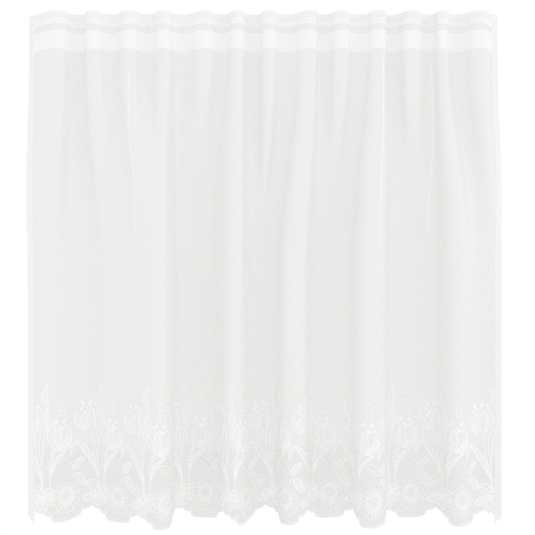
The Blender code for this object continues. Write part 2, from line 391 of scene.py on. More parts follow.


# One crease's line on the cloth, where its painted highlight or shade goes: 1 on the line through its three
# points, and smoothly 0 at its half width and its ends
def makeCreaseLine():
    group = bpy.data.node_groups.new("creaseLine", "ShaderNodeTree")
    sockets = group.interface
    sockets.new_socket("Cloth position", in_out="INPUT", socket_type="NodeSocketVector")
    for label in ("Top along", "Top height", "Middle along", "Middle height", "Low along", "Low height",
                  "Half width"):
        sockets.new_socket(label, in_out="INPUT", socket_type="NodeSocketFloat")
    sockets.new_socket("Mask", in_out="OUTPUT", socket_type="NodeSocketFloat")
    start = group.nodes.new("NodeGroupInput").outputs
    end = group.nodes.new("NodeGroupOutput")
    split = addNode(group, "ShaderNodeSeparateXYZ", {0: start["Cloth position"]})
    height = split.outputs[1]
    top, middle, low = start["Top height"], start["Middle height"], start["Low height"]
    upper = rangeNode(group, height, top, middle, start["Top along"], start["Middle along"])
    reach = mathNode(group, "SUBTRACT", start["Low along"], start["Middle along"])
    lower = rangeNode(group, height, middle, low, 0.0, reach)
    away = mathNode(group, "SUBTRACT", split.outputs[0], mathNode(group, "ADD", upper, lower))
    mask = rangeNode(group, mathNode(group, "ABSOLUTE", away), start["Half width"], 0.0, smooth=True)
    belowTop = mathNode(group, "SUBTRACT", top, creaseFade["top"])
    aboveLow = mathNode(group, "ADD", low, creaseFade["low"])
    fadeTop = rangeNode(group, height, top, belowTop, smooth=True)
    fadeLow = rangeNode(group, height, low, aboveLow, smooth=True)
    mask = mathNode(group, "MULTIPLY", mask, mathNode(group, "MULTIPLY", fadeTop, fadeLow))
    group.links.new(mask, end.inputs["Mask"])
    return group


creaseLine = makeCreaseLine()


# The coarser ground of the lace: level bars over a darker, more open net
laceGround = {
    "top": 0.192,            # height above the hem line where it begins
    "full": 0.165,
    "barPitch": 0.0034,
    "barShare": 0.6,
    "evenShare": 0.5,
    "colour": (0.52, 0.53, 0.51),
}
# Colours of the creases' painted highlight and painted shade
creasePaintedLight = {"halfWidth": 0.0026, "light": (0.99, 0.99, 0.98), "paintedShade": (0.60, 0.602, 0.59)}


# The ground's colour: mixed in below its top by a cosine of the height, in the strength that bars gives
def addGround(tree, height, colour, bars):
    ground = rangeNode(tree, height, laceGround["top"], laceGround["full"])
    bar = mathNode(tree, "COSINE", mathNode(tree, "MULTIPLY", height, 2 * math.pi / laceGround["barPitch"]))
    bar = mathNode(tree, "MULTIPLY", mathNode(tree, "ADD", bar, 1.0), 0.5)
    bar = mathNode(tree, "MULTIPLY", bar, laceGround["barShare"])
    bar = mathNode(tree, "ADD", bar, laceGround["evenShare"])
    shade = mathNode(tree, "MULTIPLY", mathNode(tree, "MULTIPLY", ground, bars), bar)
    return mixColour(tree, shade, colour, laceGround["colour"])


# Painted highlight or painted shade along the line of each crease
def addCreases(tree, place, colour):
    for crease in creases:
        inputs = {
            "Cloth position": place, "Half width": creasePaintedLight["halfWidth"],
            "Top along": crease.topAlong * mm, "Top height": cloth["hemLine"] - crease.topDrop * mm,
            "Middle along": crease.midAlong * mm, "Middle height": cloth["hemLine"] - crease.midDrop * mm,
            "Low along": crease.lowAlong * mm, "Low height": cloth["hemLine"] - crease.lowDrop * mm,
        }
        line = addNode(tree, "ShaderNodeGroup", inputs, node_tree=creaseLine)
        amount = mathNode(tree, "MULTIPLY", line.outputs[0], abs(crease.sheen))
        colour = mixColour(tree, amount, colour, creasePaintedLight["light" if crease.sheen > 0 else "paintedShade"])
    return colour


# A cloth material on the netWeave group: its colour runs from open to close, its threads stand up a little,
# and where it has openness, its holes let more through than its threads and its creases' painted highlight
# and shade show
def clothMaterial(name, openColour, closeColour, alpha, holes, roughness=0.8, relief=0.06, gloss=0.25,
                  bars=0.0, openness=0.0):
    material = bpy.data.materials.new(name)
    material.use_nodes = True
    tree = material.node_tree
    shader = tree.nodes["Principled BSDF"]
    place = addNode(tree, "ShaderNodeUVMap", uv_map="clothMap").outputs[0]
    inputs = {"Cloth position": place, "Holes per metre": holes, "Cloudiness": 0.6}
    weave = addNode(tree, "ShaderNodeGroup", inputs, node_tree=netWeave)
    density, thread = weave.outputs["Density"], weave.outputs["Thread"]
    colour = mixColour(tree, rangeNode(tree, density, 0.2, 0.95), openColour, closeColour)
    if bars:
        height = addNode(tree, "ShaderNodeSeparateXYZ", {0: place}).outputs[1]
        colour = addGround(tree, height, colour, bars)
    if openness:
        cover = rangeNode(tree, thread, 0.0, 1.0, alpha - openness * 0.6, alpha + openness * 0.4)
        tree.links.new(cover, shader.inputs["Alpha"])
        colour = addCreases(tree, place, colour)
    else:
        shader.inputs["Alpha"].default_value = alpha
    tree.links.new(colour, shader.inputs["Base Color"])
    rough = rangeNode(tree, density, 0.0, 1.0, roughness + 0.1, roughness - 0.1)
    tree.links.new(rough, shader.inputs["Roughness"])
    bump = addNode(tree, "ShaderNodeBump", {"Strength": relief, "Distance": 0.0003, "Height": thread})
    tree.links.new(bump.outputs[0], shader.inputs["Normal"])
    shader.inputs["Specular IOR Level"].default_value = gloss
    return material


# A raised thread: bright along its crown, darker at its sides as painted shade, and twisted, by a sine of
# the way along it, with painted shade in the grooves of the twist
def threadMaterial(name, crown, side):
    twist = 500.0            # half turns in a metre
    material = bpy.data.materials.new(name)
    material.use_nodes = True
    tree = material.node_tree
    shader = tree.nodes["Principled BSDF"]
    place = addNode(tree, "ShaderNodeUVMap", uv_map="clothMap").outputs[0]
    split = addNode(tree, "ShaderNodeSeparateXYZ", {0: place}).outputs
    slant = mathNode(tree, "ADD", mathNode(tree, "MULTIPLY", split[0], twist), split[1])
    stitch = mathNode(tree, "ABSOLUTE", mathNode(tree, "SINE", mathNode(tree, "MULTIPLY", slant, math.pi)))
    # Painted shade: the colour turns darker towards the thread's sides
    dark = rangeNode(tree, mathNode(tree, "ABSOLUTE", split[1]), 0.78, 1.0)
    # Painted shade in the grooves of the twist
    twistShaded = mixColour(tree, stitch, [0.93 * c for c in crown], crown)
    tree.links.new(mixColour(tree, dark, twistShaded, side), shader.inputs["Base Color"])
    tree.links.new(rangeNode(tree, stitch, 0.0, 1.0, 0.7, 0.5), shader.inputs["Roughness"])
    bump = addNode(tree, "ShaderNodeBump", {"Strength": 0.3, "Distance": 0.0003, "Height": stitch})
    tree.links.new(bump.outputs[0], shader.inputs["Normal"])
    shader.inputs["Specular IOR Level"].default_value = 0.3
    return material


sheerNet = clothMaterial("sheerNet", (0.750, 0.751, 0.740), (0.780, 0.781, 0.770), 0.68, 700,
                         roughness=0.42, relief=0.04, gloss=1.0, bars=0.24, openness=0.12)
netOnTape = clothMaterial("netOnTape", (0.940, 0.942, 0.934), (0.966, 0.968, 0.960), 0.96, 700,
                          roughness=0.9, gloss=0.1)
turnedNet = clothMaterial("turnedNet", (0.918, 0.920, 0.912), (0.95, 0.952, 0.944), 0.95, 700)
frillNet = clothMaterial("frillNet", (0.903, 0.905, 0.897), (0.934, 0.936, 0.928), 0.95, 700)
closeLace = clothMaterial("closeLace", (0.872, 0.874, 0.864), (0.905, 0.907, 0.897), 0.95, 900)
lowLace = clothMaterial("lowLace", (0.850, 0.852, 0.842), (0.884, 0.886, 0.876), 0.95, 900)
headingTape = clothMaterial("headingTape", (0.92, 0.92, 0.91), (0.955, 0.955, 0.945), 1.0, 450, relief=0.4)
# Each thread's second colour is the painted shade along its sides
laceThread = threadMaterial("laceThread", (0.965, 0.966, 0.957), (0.875, 0.877, 0.865))
sewingThread = threadMaterial("sewingThread", (0.985, 0.985, 0.978), (0.93, 0.93, 0.92))
print("materials made")

# The net: one surface from under the frill to the scalloped edge
net = {
    "columnsPerRepeat": 66,
    "sideStep": 0.0025,
    "lowerStart": 1.330,     # rows below this follow the scallops
    "lowerRows": 12,
    "rowStep": 0.015,
    "laceStart": 1.030,
    "laceRowStep": 0.007,
}


# Columns in step with the scallops, with extra ones under the side hems
def netColumns():
    pitch = border["repeat"] / net["columnsPerRepeat"]
    inner = cloth["sideHem"] - 0.001
    first = -int((border["firstScallop"] - inner) / pitch)
    last = int((cloth["width"] - inner - border["firstScallop"]) / pitch)
    middle = border["firstScallop"] + pitch * np.arange(first, last + 1)
    side = np.arange(0.0015, middle[0] - 0.001, net["sideStep"])
    return np.concatenate([side, middle, cloth["width"] - side[::-1]])


# Rows at the edges of the frill and the tapes, close ones at the pressed line, and then even steps
columns = netColumns()
upperRows = np.concatenate([
    np.array([0.0165, 0.0255, 0.0350, 0.044, 0.0537, 0.0665, 0.079, 0.0915, 0.1052, 0.115, 0.125]),
    np.arange(0.131, 0.1455, 0.0015),
    np.arange(0.155, net["laceStart"] - 0.005, net["rowStep"]),
    np.arange(net["laceStart"], net["lowerStart"] - 0.003, net["laceRowStep"]),
])
lowerShare = np.linspace(0, 1, net["lowerRows"])[:, None]
lowerRows = net["lowerStart"] + (hemEdge(columns)[None, :] - net["lowerStart"]) * lowerShare
alongGrid = np.broadcast_to(columns, (len(upperRows) + net["lowerRows"], len(columns)))
dropGrid = np.vstack([np.broadcast_to(upperRows[:, None], (len(upperRows), len(columns))), lowerRows])
netFaces = gridFaces(*dropGrid.shape)
rowDrop = np.repeat((dropGrid[:-1, 0] + dropGrid[1:, 0]) / 2, len(columns) - 1)
wideTop, wideBottom = cloth["wideTape"]
onTape = (rowDrop < cloth["narrowTape"][1]) | ((rowDrop > wideTop) & (rowDrop < wideBottom))
netMap = np.stack([alongGrid, cloth["hemLine"] - dropGrid], axis=-1)
netPanel = makePiece("net_panel", hang(alongGrid, dropGrid), netFaces, [sheerNet, netOnTape], netMap,
                     onTape.astype(int))
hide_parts("lace_panel")


# A strip of turned cloth: the profile's points are stations across it, carried down or along the cloth
def turnedStrip(name, along, drop, outward, material):
    points = hang(along, drop, outward)
    flat = np.stack([np.broadcast_to(along, points.shape[:2]),
                     cloth["hemLine"] - np.broadcast_to(drop, points.shape[:2])], axis=-1)
    return makePiece(name, points, gridFaces(*points.shape[:2]), [material], flat)


# The turned cloth of the side hems and the frill
hem = {
    "rowStep": 0.003,
    "tooth": 0.006,
    "toothDepth": 0.0009,
    "frontOut": 0.00035,
    "backOut": -0.00120,
}


# A side hem: front layer with a serrated inner edge, round fold at the side, back layer, all drawn out to
# end on the slanting cut
def makeSideHem(name, onRight):
    rows = np.arange(0.0, cloth["hemLine"], hem["rowStep"])[:, None]
    tooth = hem["toothDepth"] * np.abs((rows / hem["tooth"]) % 1 * 2 - 1)
    # Stations from the inner edge of the front layer round the fold to the inner edge of the back layer
    share = np.array([1.0, 0.95, 0.6, 0.25, 0.06, 0.015, 0.0, 0.015, 0.06, 0.25, 0.6, 0.95, 1.0])
    out = np.array([0.0, 1, 1, 1, 1, 0.85, 0.5, 0.15, 0, 0, 0, 0, 1.0])
    fromSide = share * (cloth["sideHem"] - 0.0006 + tooth)
    drop = rows / rows.max() * cornerEdge(fromSide)
    outward = hem["backOut"] + (hem["frontOut"] - hem["backOut"]) * np.where(share == 1.0, 0.75, out)
    along = cloth["width"] - fromSide if onRight else fromSide
    if not onRight:
        along, drop = along[:, ::-1], drop[:, ::-1]
        outward = outward[::-1]
    return turnedStrip(name, along, drop, outward, turnedNet)


leftHem = makeSideHem("side_hem_left", False)
rightHem = makeSideHem("side_hem_right", True)


# The frill: front layer, round fold at the top edge, back layer
def makeFrill():
    share = np.array([1.02, 1.0, 0.97, 0.7, 0.4, 0.15, 0.05, 0.015, 0.0,
                      0.02, 0.08, 0.25, 0.5, 0.75, 1.0, 1.03])
    out = np.array([0.8, 1, 1, 1, 1, 1, 1, 0.85, 0.5, 0.15, 0, 0, 0, 0, 0, 0.4])
    drop = (share * cloth["frill"])[:, None]
    outward = (hem["backOut"] + (hem["frontOut"] - hem["backOut"]) * out)[:, None]
    along = columns[None, :]
    along = np.broadcast_to(along, (len(share), len(columns)))[::-1]
    return turnedStrip("heading_frill", along, drop[::-1], outward[::-1], frillNet)


frill = makeFrill()

# Both heading tapes, behind the net
tape = {
    "front": -0.0009,
    "back": -0.0018,
    "endInset": 0.001,
    "edgeInset": 0.0006,
    "columnStep": 0.0034,
    "ribDepth": 0.00012,
}


# A heading tape: a closed flat loop of stations, ribbed on its front by a cosine, carried along the cloth
# and capped at both ends
def makeTape(name, span, ribs, node):
    top, bottom = span[0] + tape["edgeInset"], span[1] - tape["edgeInset"]
    share = np.linspace(0.004, 0.996, ribs * 4 + 1)
    ribbed = tape["front"] - tape["ribDepth"] * (1 - np.abs(np.cos(np.pi * share * ribs)))
    faceDrop = top + (bottom - top) * share
    backDrop = np.linspace(bottom, top, 9)[1:-1]
    middle = (tape["front"] + tape["back"]) / 2
    drop = np.concatenate([faceDrop, [bottom], backDrop, [top]])
    outward = np.concatenate([ribbed, [middle], np.full(len(backDrop), tape["back"]), [middle]])
    start = cloth["sideHem"] + tape["endInset"]
    along = np.arange(start, cloth["width"] - start, tape["columnStep"])
    along = np.append(along, cloth["width"] - start)
    loop = len(drop)
    points = hang(along[:, None], drop[None, :], outward[None, :])
    faces = gridFaces(len(along), loop, around=True)[:, ::-1]
    centres = hang(np.array([along[0], along[-1]]), (top + bottom) / 2, middle)
    corner = np.arange(loop)
    following = (corner + 1) % loop
    last = (len(along) - 1) * loop
    leftHub = len(along) * loop
    leftCap = np.stack([np.full(loop, leftHub), corner, following, following], axis=1)[:, [0, 2, 1]]
    rightCap = np.stack([np.full(loop, leftHub + 1), last + corner, last + following], axis=1)
    flat = np.stack(np.broadcast_arrays(along[:, None], cloth["hemLine"] - drop), axis=-1).reshape(-1, 2)
    hubFlat = [[along[0], cloth["hemLine"] - top], [along[-1], cloth["hemLine"] - top]]
    triangles = np.concatenate([faces[:, [0, 1, 2]], faces[:, [0, 2, 3]], leftCap, rightCap])
    points = np.concatenate([points.reshape(-1, 3), centres])
    piece = makePiece(name, points, triangles, [headingTape], np.concatenate([flat, hubFlat]))
    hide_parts(node)
    return piece


narrowTape = makeTape("tape_narrow", cloth["narrowTape"], 5, "heading_band_narrow")
wideTape = makeTape("tape_wide", cloth["wideTape"], 14, "heading_band_wide")
print("net, hems and tapes made")


# Small joined shapes

# Small flat beads: each has a centre on the flat cloth, a turn, two half sizes and a half depth. Two rings
# of points on an ellipse make its front and back rims, and a point in the middle of each crowns them.
def makeBeadsMesh(name, along, drop, turn, halfLength, halfWidth, halfDepth, outward, material, sides=6):
    count = len(along)
    angle = np.arange(sides) * 2 * np.pi / sides
    halfLength, halfWidth, turn, outward = (np.broadcast_to(a, count)[:, None]
                                            for a in (halfLength, halfWidth, turn, outward))
    x = np.cos(angle) * halfLength
    y = np.sin(angle) * halfWidth
    ringAlong = along[:, None] + x * np.cos(turn) - y * np.sin(turn)
    ringDrop = drop[:, None] - (x * np.sin(turn) + y * np.cos(turn))
    frontRing = hang(ringAlong, ringDrop, outward + halfDepth * 0.55)
    backRing = hang(ringAlong, ringDrop, outward - halfDepth * 0.55)
    front = hang(along[:, None], drop[:, None], outward + halfDepth)
    back = hang(along[:, None], drop[:, None], outward - halfDepth)
    points = np.concatenate([frontRing, backRing, front, back], axis=1)
    corner = np.arange(sides)
    following = (corner + 1) % sides
    faces = np.concatenate([
        np.stack([corner, following, np.full(sides, 2 * sides)], axis=1),
        np.stack([following + sides, corner + sides, np.full(sides, 2 * sides + 1)], axis=1),
        np.stack([corner + sides, following + sides, following], axis=1),
        np.stack([corner + sides, following, corner], axis=1),
    ])
    faces = (np.arange(count)[:, None, None] * (2 * sides + 2) + faces[None]).reshape(-1, 3)
    across = np.tile(np.append(np.full(2 * sides, 0.7), [0.0, 0.0]), (count, 1))
    lengthwise = np.broadcast_to(along[:, None], across.shape)
    flat = np.stack([lengthwise, across], axis=-1)
    return makePiece(name, points, faces, [material], flat, ridges="all")


# Woven dots: a staggered repeat, with a closer wavy row in each
dots = {
    "across": 0.0300,
    "down": 0.0230,
    "wander": 0.0055,
    "halfSize": 0.0009,
    "halfDepth": 0.00045,
    "highest": 0.112,
    "lowest": 0.165,         # height above the hem line where the close lace begins
    "drift": 0.37,           # share of the repeat by which each row is shifted from the last
    "wave": 0.003,
    "pressedPitch": 0.0085,  # of the short rows that are woven along the pressed line
    "seed": 7,
}


# Rows of dots at even steps, shifted from row to row, on a slow sine, each dot moved a little by chance
def dotPlaces():
    chance = np.random.default_rng(dots["seed"])
    rows = np.arange(dots["highest"], cloth["hemLine"] - dots["lowest"], dots["down"])
    places = []
    for number, drop in enumerate(rows):
        shift = (dots["drift"] * number) % 1 * dots["across"]
        pitch = dots["across"] * (0.5 if number % 4 == 0 else 1.0)
        start = cloth["sideHem"] + 0.004 + shift
        along = np.arange(start, cloth["width"] - cloth["sideHem"] - 0.003, pitch)
        wave = dots["wave"] * np.sin(along / 0.021 + number)
        places.append(np.stack([along, drop + wave], axis=1))
    places = np.concatenate(places)
    return places + chance.uniform(-dots["wander"], dots["wander"], places.shape)


places = dotPlaces()
pressedDots = np.arange(cloth["sideHem"] + 0.006, cloth["width"] - cloth["sideHem"] - 0.005,
                        dots["pressedPitch"])
pressedDots = pressedDots[np.sin(pressedDots / 0.055) > 0.2]    # short rows with gaps between them
places = np.concatenate([places, np.stack(np.broadcast_arrays(pressedDots, pressedLine["drop"]), axis=1)])
wovenDots = makeBeadsMesh("woven_dots", places[:, 0], places[:, 1], 0.0, dots["halfSize"], dots["halfSize"],
                         dots["halfDepth"], 0.0, sewingThread)

# Picot edge: small thread loops along the top fold
picot = {"pitch": 0.0042, "halfLength": 0.0013, "halfWidth": 0.0010, "halfDepth": 0.0011}
picotAlong = np.arange(0.004, cloth["width"] - 0.004, picot["pitch"])
picotDrop = np.full(len(picotAlong), 0.0002)
picotEdge = makeBeadsMesh("picot_edge", picotAlong, picotDrop, 0.0, picot["halfLength"], picot["halfWidth"],
                         picot["halfDepth"], -0.0005, turnedNet, 4)

# Stitches. Rows across: how far down, and half width. Rows down the hems: how far in, and half width.
stitch = {
    "pitch": 0.0036,
    "halfLength": 0.00155,
    "halfDepth": 0.0003,
    "outward": 0.0006,
    "across": ((0.0180, 0.00120), (0.0262, 0.00075), (0.0330, 0.00035), (0.0552, 0.00035),
               (0.1028, 0.00035)),
    "down": ((0.0178, 0.00050),),
}


# Each stitch's place along and down, its turn and its half width, at even steps along the rows
def stitchRows():
    rows = []
    inner = cloth["sideHem"] + 0.001
    alongTape = np.arange(inner, cloth["width"] - inner, stitch["pitch"])
    for drop, half in stitch["across"]:
        rows.append(np.stack(np.broadcast_arrays(alongTape, drop, 0.0, half), axis=1))
    downHem = np.arange(0.004, cloth["hemLine"] + 0.010, stitch["pitch"])
    for inward, half in stitch["down"]:
        for side in (inward, cloth["width"] - inward):
            rows.append(np.stack(np.broadcast_arrays(side, downHem, np.pi / 2, half), axis=1))
    return np.concatenate(rows)


rows = stitchRows()
stitches = makeBeadsMesh("stitches", rows[:, 0], rows[:, 1], rows[:, 2], stitch["halfLength"], rows[:, 3],
                         stitch["halfDepth"], stitch["outward"], sewingThread, 4)
print("dots, picot edge and stitches made")


# The woven flowers. One repeat, in millimetres: X from the tip of the tall leaf, Y the height above the hem
# line. A blade is a petal, leaf or leaflet from its base to its tip. Inside says which lines are woven in
# it: rib has a middle line, double an inner outline and a core, veins a middle line and side veins, plain
# none, petal a fine outline and core, faint a fine outline, and a solid blade is woven all over.
Blade = namedtuple("Blade", "baseX baseY tipX tipY width bend hook belly inside")

tallLeaf = (
    Blade(4, 291, 0, 355, 15, 5, -6, 0.38, "rib"),
    Blade(3, 233, 4, 291, 12, -2, 0, 0.45, "rib"),
)
# Petals of the left flower, from the middle of the flower
openTulip = (
    Blade(13, -38, 20, 41, 17, -10, 2, 0.50, "rib"),
    Blade(-7, -43, -35, 12, 14, 9, 3, 0.55, "rib"),
    Blade(-2, -38, -17, 8, 10, 6, 0, 0.60, "plain"),
    Blade(8, -38, 10, 26, 26, 0, 0, 0.42, "double"),
    Blade(-11, 21, -20, 47, 12, 0, 0, 0.60, "solid"),
    Blade(1, 23, 8, 49, 12, 0, 0, 0.60, "solid"),
    Blade(-15, 11, -25, 28, 9, 0, 0, 0.60, "solid"),
    Blade(-9, 1, -10, 19, 8, 0, 0, 0.55, "solid"),
    Blade(-5, 15, -5, 33, 7, 0, 0, 0.55, "solid"),
)
# Petals of the right flower, from the middle of the flower
closedTulip = (
    Blade(-9, -41, -16, 35, 21, 8, -2, 0.45, "rib"),
    Blade(-6, -45, 40, -15, 8, -14, 0, 0.55, "plain"),
    Blade(-2, -42, 36, -8, 9, -8, 2, 0.60, "plain"),
    Blade(3, -37, 37, 11, 14, -9, 2, 0.60, "rib"),
    Blade(-8, -43, -3, 19, 24, -2, 0, 0.45, "double"),
    Blade(3, 4, 10, 27, 9, -2, 0, 0.50, "solid"),
    Blade(-6, 27, -5, 45, 13, 0, 0, 0.50, "solid"),
    Blade(14, 25, 20, 43, 12, 0, 0, 0.50, "solid"),
    Blade(4, 16, 4, 30, 7, 0, 0, 0.50, "solid"),
    Blade(14, 8, 17, 22, 7, 0, 0, 0.50, "solid"),
    Blade(22, 11, 27, 27, 9, 0, 0, 0.50, "solid"),
)
archedLeaf = (
    Blade(-8, 78, -71, 186, 18, -9, 0, 0.62, "double"),
    Blade(-71, 188, -87, 145, 7, -7, -4, 0.40, "plain"),
)
# Leaves of the low sprig, from its node
sprig = (
    Blade(-4, 5, -47, 42, 20, -4, 2, 0.50, "faint"),
    Blade(0, 4, 24, 40, 18, 4, -3, 0.50, "double"),
    Blade(2, -3, 29, -42, 22, 3, -3, 0.50, "double"),
    Blade(30, -30, 68, -58, 26, 7, 0, 0.50, "veins"),
    Blade(62, -66, 20, -78, 20, 2, 3, 0.50, "double"),
)
# Petals that fan down from a node beside the next tall leaf
fan = (
    Blade(2, 4, 36, 10, 13, 5, -3, 0.55, "rib"),
    Blade(3, 1, 37, -12, 12, 3, -2, 0.60, "rib"),
    Blade(2, -2, 28, -32, 12, 2, 0, 0.60, "rib"),
    Blade(0, -3, 12, -43, 12, 1, 0, 0.62, "rib"),
    Blade(-2, -3, -5, -44, 12, 0, 0, 0.62, "rib"),
    Blade(-4, -1, -19, -36, 11, -2, 0, 0.60, "rib"),
    Blade(-5, 2, -27, -20, 10, -3, 0, 0.55, "plain"),
)
sideLeaf = (Blade(15, 96, 60, 164, 9, 13, 0, 0.55, "rib"),)

# Where each group of blades stands in the repeat
Growth = namedtuple("Growth", "blades x y")
tulipGrowths = (Growth(openTulip, -41, 257), Growth(closedTulip, 36, 213))
leafGrowths = (Growth(tallLeaf, 0, 0), Growth(archedLeaf, 0, 0), Growth(sideLeaf, 0, 0))
lowGrowths = (Growth(sprig, 83, 100), Growth(fan, 152, 46))

# Stems through a few points, from the flower down
stems = (
    ((-29, 220), (-29, 195), (-26, 160), (-19, 130), (-14, 108), (-11, 80), (-10, 50)),
    ((0, 238), (-11, 222), (-18, 195), (-18, 168), (-14, 145), (-11, 126)),
    ((7, 236), (-2, 212), (-7, 185), (-8, 160), (-9, 140), (-11, 126)),
    ((-11, 126), (-9, 100), (-8, 70), (-7, 46)),
    ((24, 174), (17, 161), (13, 140), (12, 105), (12, 56)),
    ((28, 170), (22, 158), (17, 135)),
    ((-8, 80), (-7, 60), (-8, 48)),
    ((83, 100), (76, 88), (73, 78)),
    ((112, 62), (118, 66), (135, 62), (151, 48)),
)

lace = {
    "step": 2.8,
    "outline": 1.8,
    "inner": 1.2,
    "fine": 1.05,
    "stem": 1.6,
    "solidWidth": 0.85,      # share of a solid blade's width that is woven
    "thinnest": 0.35,
    "smallBelow": 20,        # a blade shorter than this has thinner lines
    "rise": 0.00050,
    "wall": 0.00024,         # half the height of a thread's sides
}

# The daisy: its middle, the low and high end and the width of its core, the oval of its tips and how low it
# hangs, the radius of its eye, and its rings of petals: how many, the shares of the oval where they end and
# begin, their width, their turn and what is woven in them
daisy = {
    "middle": (59, 41),
    "core": (-13, 11, 24),
    "reach": (39, 45),
    "hang": 11,
    "eye": 4.5,
    "rings": ((16, 1.0, 0.36, 13.0, 0.0, "petal"), (12, 0.60, 0.26, 9.0, 0.5, "faint")),
}


# Half a blade's width along it: a sine that peaks at its belly, made rounder by a power below 1 and slimmer
# by one above it
def bladeHalf(blade, along):
    power = math.log(0.5) / math.log(blade.belly)
    roundness = {"petal": 0.55, "solid": 1.15}.get(blade.inside, 0.8)
    return blade.width / 2 * np.clip(np.sin(np.pi * along ** power), 0, 1) ** roundness


# Points of a blade: its centre line bent by a sine and hooked by a fourth power, with half its width on each
# side of it
def bladePoints(blade, across, along):
    reachX = blade.tipX - blade.baseX
    reachY = blade.tipY - blade.baseY
    length = math.hypot(reachX, reachY)
    bent = blade.bend * np.sin(np.pi * along) + blade.hook * along ** 4
    sideways = bent + across * bladeHalf(blade, along)
    x = blade.baseX + reachX * along - reachY / length * sideways
    y = blade.baseY + reachY * along + reachX / length * sideways
    return np.stack(np.broadcast_arrays(x, y), axis=-1)


# The same line with points at even steps along it
def evenSteps(line, step):
    length = np.concatenate([[0.0], np.cumsum(np.hypot(*np.diff(line, axis=0).T))])
    even = np.linspace(0, length[-1], max(3, int(round(length[-1] / step)) + 1))
    return np.stack([np.interp(even, length, line[:, 0]), np.interp(even, length, line[:, 1])], axis=1)


# A smooth curve through a few points: each stretch is the cubic set by the points on both sides of it
def curveThrough(points):
    points = np.asarray(points, dtype=float)
    padded = np.vstack([2 * points[0] - points[1], points, 2 * points[-1] - points[-2]])
    t = np.linspace(0, 1, 10, endpoint=False)[:, None]
    stretches = []
    for a, b, c, d in zip(padded, padded[1:], padded[2:], padded[3:]):
        square = 2 * a - 5 * b + 4 * c - d
        cube = 3 * b - 3 * c + d - a
        stretches.append(0.5 * (2 * b + (c - a) * t + square * t ** 2 + cube * t ** 3))
    return np.vstack([*stretches, points[-1:]])


# The blades of each growth, moved to its place in the repeat
def placed(growths):
    return [blade._replace(baseX=g.x + blade.baseX, baseY=g.y + blade.baseY, tipX=g.x + blade.tipX,
                           tipY=g.y + blade.tipY) for g in growths for blade in g.blades]


# The petals of the daisy round a close-woven middle: their ends lie on ovals, by a sine and a cosine
def daisyBlades():
    x, y = daisy["middle"]
    wide, tall = daisy["reach"]
    low, high, across = daisy["core"]
    blades = [Blade(x, y + low, x, y + high, across, 0, 0, 0.50, "faint")]
    for count, outer, inner, width, turn, inside in daisy["rings"]:
        for angle in (np.arange(count) + turn) * 2 * np.pi / count:
            tipX = wide * math.sin(angle)
            tipY = tall * math.cos(angle) - daisy["hang"]
            blades.append(Blade(x + inner * tipX, y + inner * tipY, x + outer * tipX, y + outer * tipY,
                                width, 0, 0, 0.66, inside))
    return blades


# Ears of seed: where each starts and ends, its steps of leaflets, how far these spread, their length and
# the sides they stand on
Ear = namedtuple("Ear", "low high steps spread size sides")
upperEar = Ear((48, 262), (44, 299), 4, 10, 12, (-1, 1))
earTip = Blade(44, 300, 43, 316, 6, 0, 0, 0.45, "solid")
lowerEar = Ear((13, 114), (10, 146), 4, -12, 8, (1,))


# The solid leaflets of an ear, at even steps up a straight line, smaller and closer to it towards its end
def earBlades(ear):
    blades = []
    for share in np.linspace(0, 1, ear.steps):
        x = ear.low[0] + (ear.high[0] - ear.low[0]) * share
        y = ear.low[1] + (ear.high[1] - ear.low[1]) * share
        reach = ear.size * (1 - 0.25 * share)
        for side in ear.sides:
            blades.append(Blade(x, y, x + side * ear.spread * (1 - 0.35 * share), y + reach, reach * 0.5,
                                -side * 1.2, 0, 0.6, "solid"))
    return blades


# The woven lines of one blade, each with its half width. A solid blade is one line as wide as the blade.
def bladeLines(blade):
    if blade.inside == "solid":
        share = np.linspace(0, 1, 7)
        half = np.maximum(bladeHalf(blade, share) * lace["solidWidth"], lace["thinnest"])
        return [(bladePoints(blade, 0, share), half)]
    along = np.linspace(0, 1, 33)
    outline = np.vstack([bladePoints(blade, -1, along), bladePoints(blade, 1, along[::-1])[1:]])
    small = math.hypot(blade.tipX - blade.baseX, blade.tipY - blade.baseY) < lace["smallBelow"]
    half = lace["inner"] if small else lace["outline"]
    if blade.inside in ("petal", "faint"):
        half = lace["fine"]
    lines = [(outline, half)]
    if blade.inside in ("rib", "veins"):
        lines.append((bladePoints(blade, 0, np.linspace(0.08, 0.80, 12)), lace["inner"]))
    if blade.inside == "petal":
        lines.append((bladePoints(blade, 0, np.linspace(0.10, 0.66, 9)), lace["fine"] * 0.8))
    if blade.inside == "double":
        inner = np.linspace(0.14, 0.84, 20)
        lines.append((np.vstack([bladePoints(blade, -0.48, inner), bladePoints(blade, 0.48, inner[::-1])]),
                      lace["inner"]))
        lines.append((bladePoints(blade, 0, np.linspace(0.24, 0.70, 8)), lace["inner"] * 0.8))
    if blade.inside == "veins":
        for start in (0.20, 0.36, 0.52):
            share = np.linspace(0, 1, 6)
            for side in (-1, 1):
                vein = bladePoints(blade, side * 0.72 * share, start + 0.16 * share)
                lines.append((vein, lace["inner"] * 0.8))
    return [(evenSteps(line, lace["step"] * (0.7 if small else 1.0)), half) for line, half in lines]


tips = border["firstTip"] + border["repeat"] * np.arange(-1, 12)
laceLeft = cloth["sideHem"] - 0.002
laceRight = cloth["width"] - laceLeft


